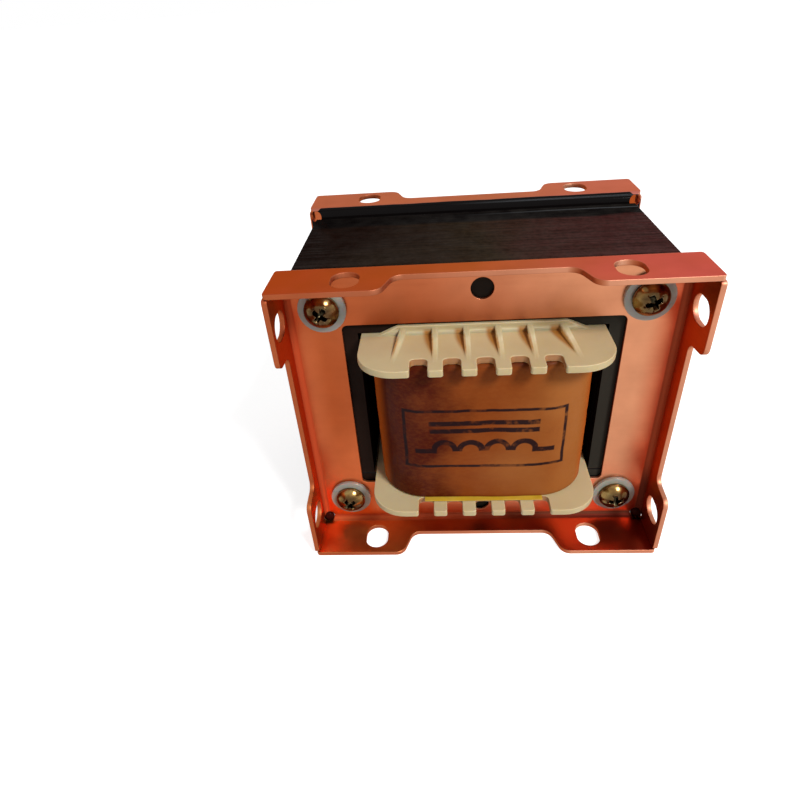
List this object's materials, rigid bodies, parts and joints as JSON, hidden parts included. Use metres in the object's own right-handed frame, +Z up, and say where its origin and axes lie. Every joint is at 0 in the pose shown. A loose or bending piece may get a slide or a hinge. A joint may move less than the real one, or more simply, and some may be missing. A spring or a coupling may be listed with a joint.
{
  "type": "iron-core choke coil",
  "caption": "Iron-core choke: a paper-wrapped coil on a moulded bobbin and laminated core, clamped between two folded frames with slotted mounting ears on every side.",
  "frame": {"origin": "middle of the surface that the choke stands on, under the middle of the core", "axes": "+Z up; X across the laminations; Y through the stack, with the bolt heads facing -Y"},
  "size_m": [0.0902, 0.075, 0.0772],
  "materials": {
    "frame_copper_plate": "satin copper plating",
    "core_varnish": "glossy black varnish",
    "gap_sheet": "matt",
    "bobbin_nylon": "semi-matt cream",
    "coil_wire": "enamelled copper wire",
    "yellow_tape": "satin",
    "wrap_paper": "impregnated brown paper",
    "yellow_zinc": "yellow passivated zinc",
    "washer_fibre": "translucent pale grey",
    "sleeve_plastic": "plain"
  },
  "bodies": {
    "root": {"front_end_frame": "frame_copper_plate", "rear_end_frame": "frame_copper_plate", "e_lamination_stack": "core_varnish", "i_lamination_stack": "core_varnish", "air_gap_spacer": "gap_sheet", "bobbin": "bobbin_nylon", "winding": "coil_wire", "inner_tape": "yellow_tape", "outer_wrap": "wrap_paper", "bolts": "yellow_zinc", "nuts": "yellow_zinc", "lock_washers": "yellow_zinc", "flat_washers": "yellow_zinc", "front_insulating_washer_1": "washer_fibre", "front_insulating_washer_2": "washer_fibre", "front_insulating_washer_3": "washer_fibre", "front_insulating_washer_4": "washer_fibre", "rear_insulating_washer_1": "washer_fibre", "rear_insulating_washer_2": "washer_fibre", "rear_insulating_washer_3": "washer_fibre", "rear_insulating_washer_4": "washer_fibre", "bolt_sleeve_1": "sleeve_plastic", "bolt_sleeve_2": "sleeve_plastic", "bolt_sleeve_3": "sleeve_plastic", "bolt_sleeve_4": "sleeve_plastic"}
  },
  "joints": []
}
